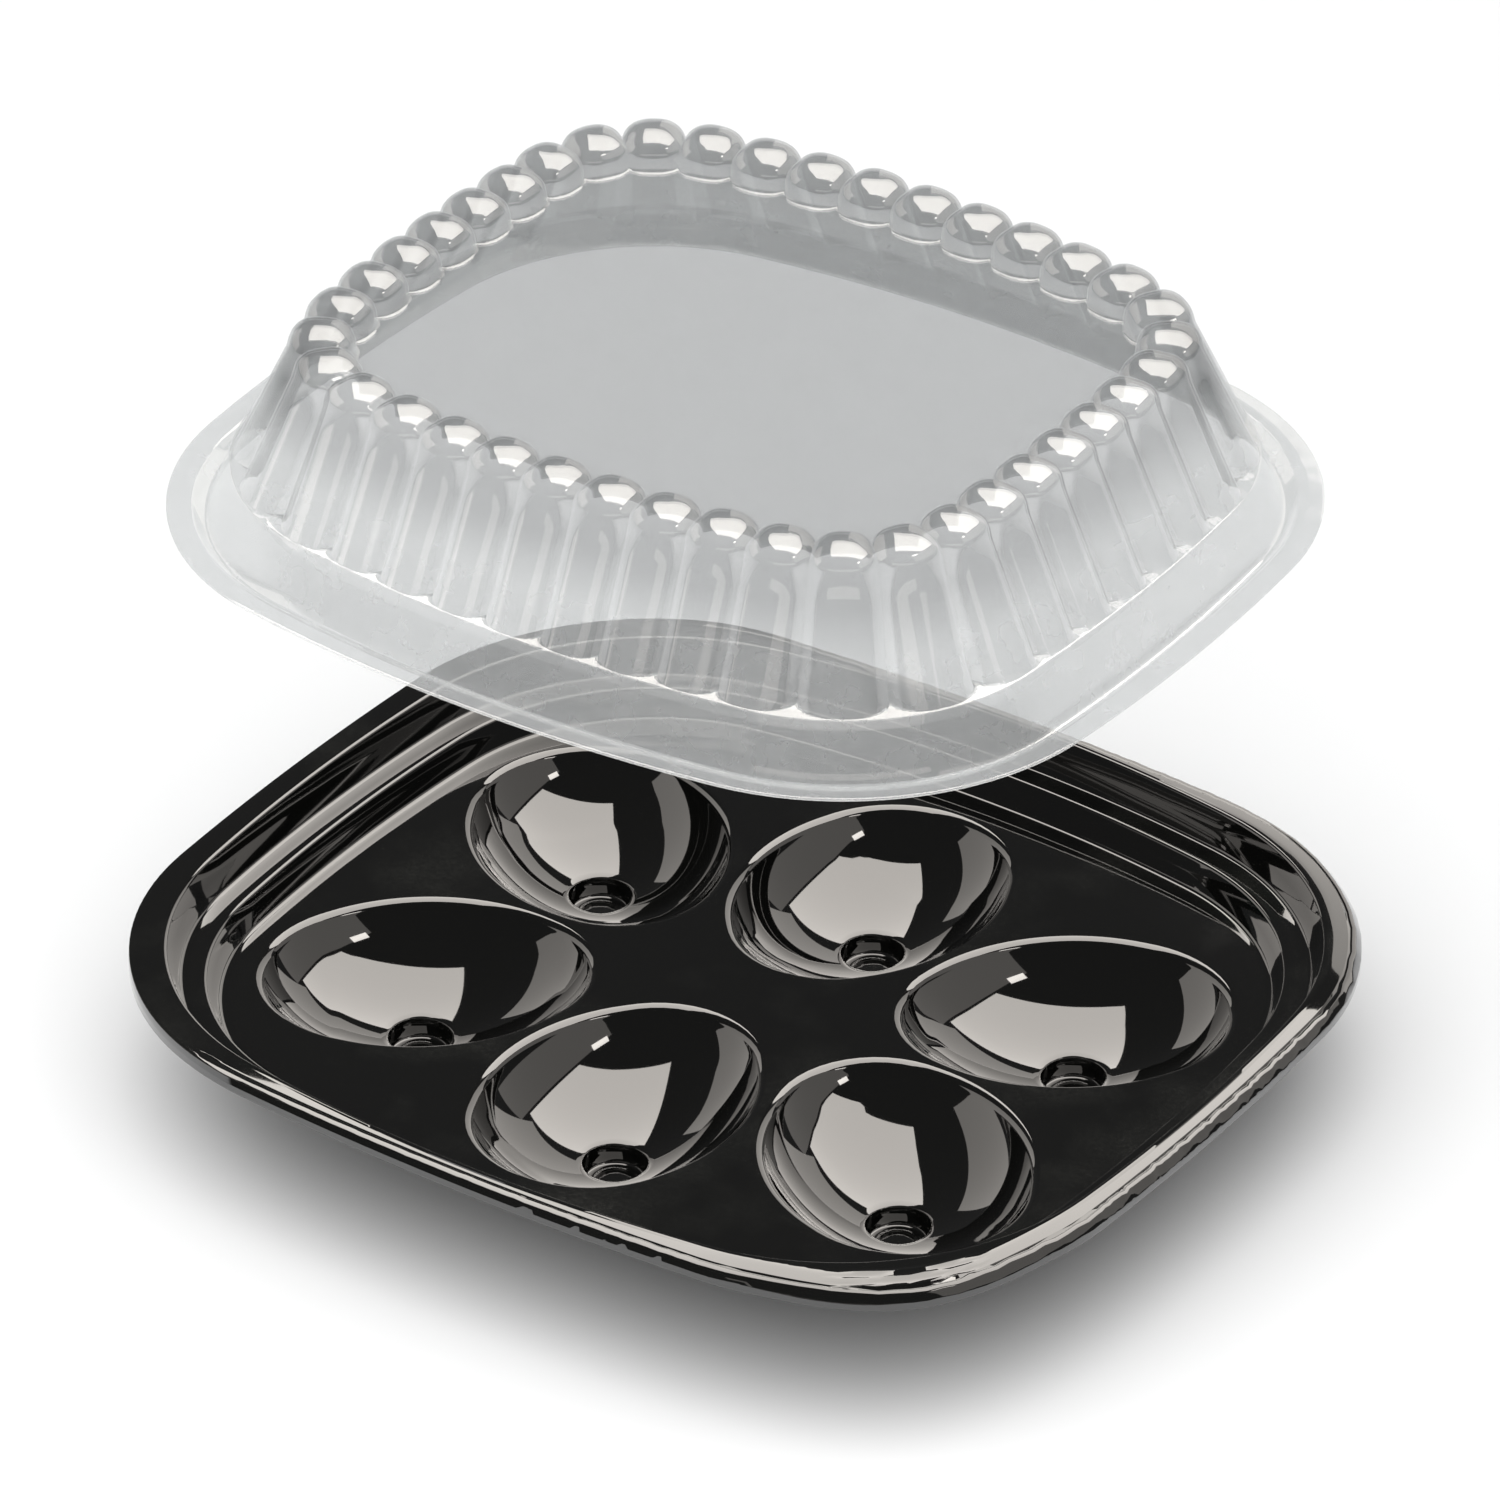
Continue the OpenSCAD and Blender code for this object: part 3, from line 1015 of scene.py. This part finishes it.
        # across the flange, from the skirt's last ring to the first of the recess
        start = skirt[-1][1][0]
        stairs = self.stairs()
        for step in range(1, self.across):
            ring = []
            for (k, arc, share), (_, other, part), more in zip(outer, inner, swells):
                a, b = Vector(arc.at(share, start + more)), Vector(other.at(part, stairs[0][0]))
                spot = a.lerp(b, step / self.across)
                out = (spot - Vector(arc.centre)).length - arc.radius
                ring.append((spot.x, spot.y, self.rim + self.flange_rise(arc, k, share, out, more)))
            rows.append(ring)
        for out, up in stairs:
            rows.append([(*arc.at(share, out), self.rim + up) for _, arc, share in inner])
        return rows

    def well_places(self) -> list[tuple[float, float, float]]:
        """Work out where the wells stand.

        Returns:
            For each well its centre, and the direction of its fat end in radians.
        """
        turn = math.radians(self.well_turn)
        deck = self.recess.inset(self.deck_inset)
        x = deck.half_length - self.well_margin - self.well.lip_reach(turn)
        y = self.well_gap / 2 + self.well.lip_reach(math.pi / 2 + turn)
        side = deck.half_width - self.side_margin - self.well.lip_reach(0)
        return [
            (x, y, turn),
            (x, -y, -turn),
            (-x, y, math.pi - turn),
            (-x, -y, math.pi + turn),
            (0, side, math.pi / 2),
            (0, -side, -math.pi / 2),
        ]

    def build(self) -> Piece:
        """Model the tray as one surface and give it its thickness.

        Returns:
            The tray, not yet dressed.
        """
        parts = [wrapped_grid("tray_sheet", self.rim_rows())]
        for number, (x, y, turn) in enumerate(self.well_places()):
            parts.append(self.well.build(number, (x, y), turn, self.deck))
        hold(*parts)
        bpy.ops.object.join()
        tray = bpy.context.object
        deck = self.deck * MM
        cap_ring(tray, lambda v: abs(v.z - deck) < LEVEL, many=True)
        face_up(tray, deck)
        thicken(tray, self.sheet)
        return tray

    def dress(self, piece: Piece) -> None:
        """Give the tray its finish and its place in the frame.

        Args:
            piece: The modelled tray.
        """
        give_finish(piece, self.finish.make())
        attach(piece, "tray")
        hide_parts("tray")


# ---- Lid --------------------


@dataclass
class Lid:
    """The clear lid: flat lip, channel, smooth wall, and a fluted dome round a sunken panel."""

    seat: Outline
    top: float
    sheet: float = 0.45
    lip: float = 4.6
    channel_drop: float = 2.8
    channel_run: float = 2.3
    wall_height: float = 8.4
    wall_run: float = 4.2
    sill: float = 0.4
    crown_height: float = 33.8
    crown_inset: float = 27.4
    crown_radius: float = 6.0
    fullness: float = 2.7
    face: float = 2.5
    overlap: float = 1.1
    panel_drop: float = 0.25
    finish: ClearPolystyrene = field(default_factory=ClearPolystyrene)
    a_pitch: int = 16
    crown_steps: int = 16

    def __post_init__(self) -> None:
        """Work out the height of the lip from that of the crowns."""
        self.base = self.top - self.crown_height

    def fluted(self, place: Place, way: Place) -> list[Point]:
        """Give a ring across the flutes.

        Args:
            place: Where the flutes' outer line crosses, out from the lip's edge and up.
            way: Direction in which the flutes' sides sink, out and up.

        Returns:
            One point a station.
        """
        ring = []
        for number, (_, arc, share) in enumerate(self.seat.stations(self.a_pitch)):
            off = 1 - abs(1 - 2 * (number % self.a_pitch) / self.a_pitch)
            radius = arc.half_pitch(place[0]) * self.overlap
            flat = (1 - (off / self.overlap) ** self.face) ** (1 / self.face)
            sunk = radius * (1 - flat)
            spot = arc.at(share, place[0] + sunk * way[0])
            ring.append((*spot, self.base + place[1] + sunk * way[1]))
        return ring

    def brim(self, channel: float, wall: float) -> list[Place]:
        """Draw the lip, the channel and the smooth wall in section.

        Args:
            channel: How far in the channel's floor lies.
            wall: How far in the wall's top lies.

        Returns:
            The points, out from the lip's edge and up from its face.
        """
        path = [
            (0, -0.02),
            (-0.35, 0),
            (-self.lip, 0),
            (-channel, -self.channel_drop),
            (-wall, self.wall_height),
            (-wall - self.sill, self.wall_height + 0.02),
        ]
        return filled(rounded(path, [0, 0.3, 0.6, 0.6, 0.35, 0], 4)[:-1], 2.6)

    def rows(self) -> list[list[Point]]:
        """Draw the lid's rings.

        Returns:
            The rings, from the edge of the lip in to the panel.
        """
        channel = self.lip + self.channel_run
        wall = channel + self.wall_run
        stations = self.seat.stations(self.a_pitch)
        rows = [
            [(*arc.at(share, out), self.base + up) for _, arc, share in stations]
            for out, up in self.brim(channel, wall)
        ]
        # the flutes' outer line runs straight from the foot and touches the crown's circle
        foot = Vector((-wall - self.sill, self.wall_height))
        crown = Vector((-self.crown_inset, self.crown_height - self.crown_radius))
        run = crown - foot
        lean = math.atan2(run.y, run.x) - math.asin(self.crown_radius / run.length)
        level = (-1 / math.sin(lean), 0.0)
        first = lean - math.pi / 2
        inward = (-math.cos(first), -math.sin(first))
        touch = crown + self.crown_radius * Vector((math.cos(first), math.sin(first)))
        rows.append(self.fluted((foot.x, foot.y), level))
        for share in (0.03, 0.08, 0.3, 0.55, 0.8, 0.93):
            spot = foot.lerp(touch, share)
            rows.append(self.fluted((spot.x, spot.y), inward))
        for k in range(self.crown_steps + 1):
            angle = first + (math.pi - first) * k / self.crown_steps
            out = Vector((math.cos(angle), math.sin(angle)))
            # a little fuller than round over the top, where the sheet met the mould
            full = (abs(out.x) ** self.fullness + abs(out.y) ** self.fullness) ** (-1 / self.fullness)
            spot = crown + self.crown_radius * (out * full if out.y > 0 else out)
            rows.append(self.fluted((spot.x, spot.y), (-out.x, -out.y)))
        # a small roll where the flutes' inner side meets the panel, then the panel's flat edge
        for more, down in ((0.12, 0.15), (0.4, 0.24), (0.8, self.panel_drop), (0.9, self.panel_drop)):
            rows.append(self.fluted((crown.x - self.crown_radius - more, crown.y - down), (1.0, 0.0)))
        return rows

    def build(self) -> Piece:
        """Model the lid as one surface and give it its thickness.

        Returns:
            The lid, not yet dressed.
        """
        rows = self.rows()
        lid = wrapped_grid("lid_sheet", rows)
        panel = rows[-1][0][2] * MM
        cap_ring(lid, lambda v: abs(v.z - panel) < LEVEL)
        face_up(lid, panel)
        thicken(lid, self.sheet)
        return lid

    def dress(self, piece: Piece) -> None:
        """Give the lid its finish and its place in the frame.

        Args:
            piece: The modelled lid.
        """
        give_finish(piece, self.finish.make())
        # the lid hangs clear of the tray, whose gloss mirrors the lamps and not the lid
        piece.visible_glossy = False
        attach(piece, "lid")
        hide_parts("lid")


# ---- Studio --------------------


class Lamp(Enum):
    """The studio's softboxes."""

    OVERHEAD = "overhead"
    LEFT = "left"
    RIGHT = "right"
    FRONT = "front"
    SPARK = "spark"
    BACK = "back"
    FILL = "fill"


@dataclass(frozen=True)
class Softbox:
    """A soft lamp, placed as the camera sees the object.

    Its middle, its width and its height are vectors in millimetres: to the camera's right, level
    away from the camera, and up. Its middle counts from the tray's axis, at the height of its rim.
    Glow is the brightness of its face. A lamp that is not mirrored shows in no gloss, and one that
    is not lighting shows in gloss alone.
    """

    name: Lamp
    middle: Point
    width: Point
    tall: Point
    glow: float
    mirrored: bool = True
    lighting: bool = True


@dataclass
class Studio:
    """A pale floor, soft lamps and the camera."""

    azimuth: float = 34.6
    elevation: float = 32.6
    distance: float = 1887.0
    lens: float = 254.6
    aim_right: float = 0.77
    aim_up: float = 33.0
    rim: float = 30.5
    floor_radius: float = 12000.0
    floor_gap: float = 0.2
    room: float = 0.34
    dim: float = 0.06
    paint: str = "d2d2d2"
    warm: str = "fff9f2"
    lamps: tuple[Softbox, ...] = (
        Softbox(
            Lamp.OVERHEAD, (514, 288, 1177), (1775, -278, 108), (243, 1390, -414), 4.3, lighting=False
        ),
        Softbox(Lamp.LEFT, (-1100, 480, 487), (560, 1500, 0), (246, -90, 640), 1.1, lighting=False),
        Softbox(
            Lamp.RIGHT, (1300, -130, 700), (-700, -2150, 330), (-330, 110, 640), 0.6, lighting=False
        ),
        Softbox(Lamp.FRONT, (0, -1240, 391), (1800, 0, 0), (0, 48, 152), 0.6, lighting=False),
        Softbox(Lamp.SPARK, (700, -700, 900), (150, 160, 0), (-50, 46, 85), 8.0, lighting=False),
        Softbox(Lamp.BACK, (1150, 1950, 790), (1900, -1000, 0), (0, 0, 1520), 1.3, lighting=False),
        Softbox(Lamp.FILL, (-250, -650, 1600), (3000, 0, 0), (0, 3000, 900), 3.2, mirrored=False),
    )

    def seen(self, spot: Point) -> Vector:
        """Turn a vector given as the camera sees it into the object's frame.

        Args:
            spot: To the camera's right, level away from the camera, and up.

        Returns:
            The same vector in the object's frame.
        """
        a = math.radians(self.azimuth)
        right, away = Vector((math.cos(a), math.sin(a), 0)), Vector((-math.sin(a), math.cos(a), 0))
        return right * spot[0] + away * spot[1] + Vector((0, 0, spot[2]))

    def camera(self) -> None:
        """Place the camera."""
        a, e = math.radians(self.azimuth), math.radians(self.elevation)
        right = Vector((math.cos(a), math.sin(a), 0))
        forward = Vector((-math.sin(a) * math.cos(e), math.cos(a) * math.cos(e), -math.sin(e)))
        up = right.cross(forward)
        target = Vector((0, 0, self.rim)) + right * self.aim_right + up * self.aim_up
        place = (target - forward * self.distance) * MM
        deselect()
        bpy.ops.object.camera_add(location=place)
        camera = bpy.context.object
        camera.name = "camera"
        camera.data.sensor_width = 36
        camera.data.lens = self.lens
        camera.data.clip_end = 50
        camera.rotation_euler = Matrix((right, up, -forward)).transposed().to_euler()
        bpy.context.scene.camera = camera

    def light(self, lamp: Softbox) -> None:
        """Place one softbox.

        Args:
            lamp: Its place, size and brightness.
        """
        middle, width, tall = self.seen(lamp.middle), self.seen(lamp.width), self.seen(lamp.tall)
        side = width.normalized()
        up = (tall - side * tall.dot(side)).normalized()
        back = side.cross(up)
        if back.dot(middle) < 0:
            side, back = -side, -back
        deselect()
        bpy.ops.object.light_add(type="AREA", location=(middle + Vector((0, 0, self.rim))) * MM)
        light = bpy.context.object
        light.name = f"softbox_{lamp.name.value}"
        light.data.shape = "RECTANGLE"
        light.data.size = width.length * MM
        light.data.size_y = tall.dot(up) * MM
        light.data.energy = lamp.glow * math.pi * light.data.size * light.data.size_y
        light.data.color = linear(self.warm)[:3] if lamp.mirrored else (1, 1, 1)
        light.visible_glossy = lamp.mirrored
        light.visible_diffuse = lamp.lighting
        light.visible_transmission = lamp.lighting
        light.rotation_euler = Matrix((side, up, back)).transposed().to_euler()

    def floor(self) -> None:
        """Lay the pale floor, far wider than the view."""
        deselect()
        reach, place = self.floor_radius * MM, (0, 0, -self.floor_gap * MM)
        bpy.ops.mesh.primitive_circle_add(vertices=96, radius=reach, fill_type="NGON", location=place)
        floor = bpy.context.object
        floor.name = "floor"
        material = fresh("pale_floor")
        nodes = Nodes(material.node_tree)
        paint = nodes.add("ShaderNodeBsdfDiffuse", {"Color": linear(self.paint)})
        nodes.add("ShaderNodeOutputMaterial", Surface=paint.outputs["BSDF"])
        give_finish(floor, material)

    def world(self) -> None:
        """Fill the room with an even light that gloss mirrors dimly and the camera sees as white."""
        world = bpy.data.worlds.new("studio")
        bpy.context.scene.world = world
        world.use_nodes = True
        nodes = Nodes(world.node_tree)
        path = nodes.add("ShaderNodeLightPath")
        change = {"operation": "MULTIPLY_ADD", 1: self.dim - self.room, 2: self.room}
        even = nodes.add("ShaderNodeMath", change, i0=path.outputs["Is Glossy Ray"])
        greater = {"operation": "MAXIMUM"}
        seen = nodes.add(
            "ShaderNodeMath", greater, i0=path.outputs["Is Camera Ray"], i1=even.outputs["Value"]
        )
        sky = world.node_tree.nodes["Background"]
        sky.inputs["Color"].default_value = (1, 1, 1, 1)
        world.node_tree.links.new(seen.outputs["Value"], sky.inputs["Strength"])

    def build(self) -> None:
        """Set up the whole studio."""
        self.world()
        self.floor()
        for lamp in self.lamps:
            self.light(lamp)
        self.camera()
        bpy.context.scene.view_settings.view_transform = "Standard"


def main() -> None:
    """Build and dress the tray and the lid, then the studio."""
    logging.basicConfig(level=logging.INFO, format="%(name)s: %(message)s")
    tray = Tray()
    tray.dress(tray.build())
    lid = Lid(seat=tray.seat(), top=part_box("lid")[1][2] / MM)
    lid.dress(lid.build())
    Studio().build()


if __name__ == "__main__":
    main()
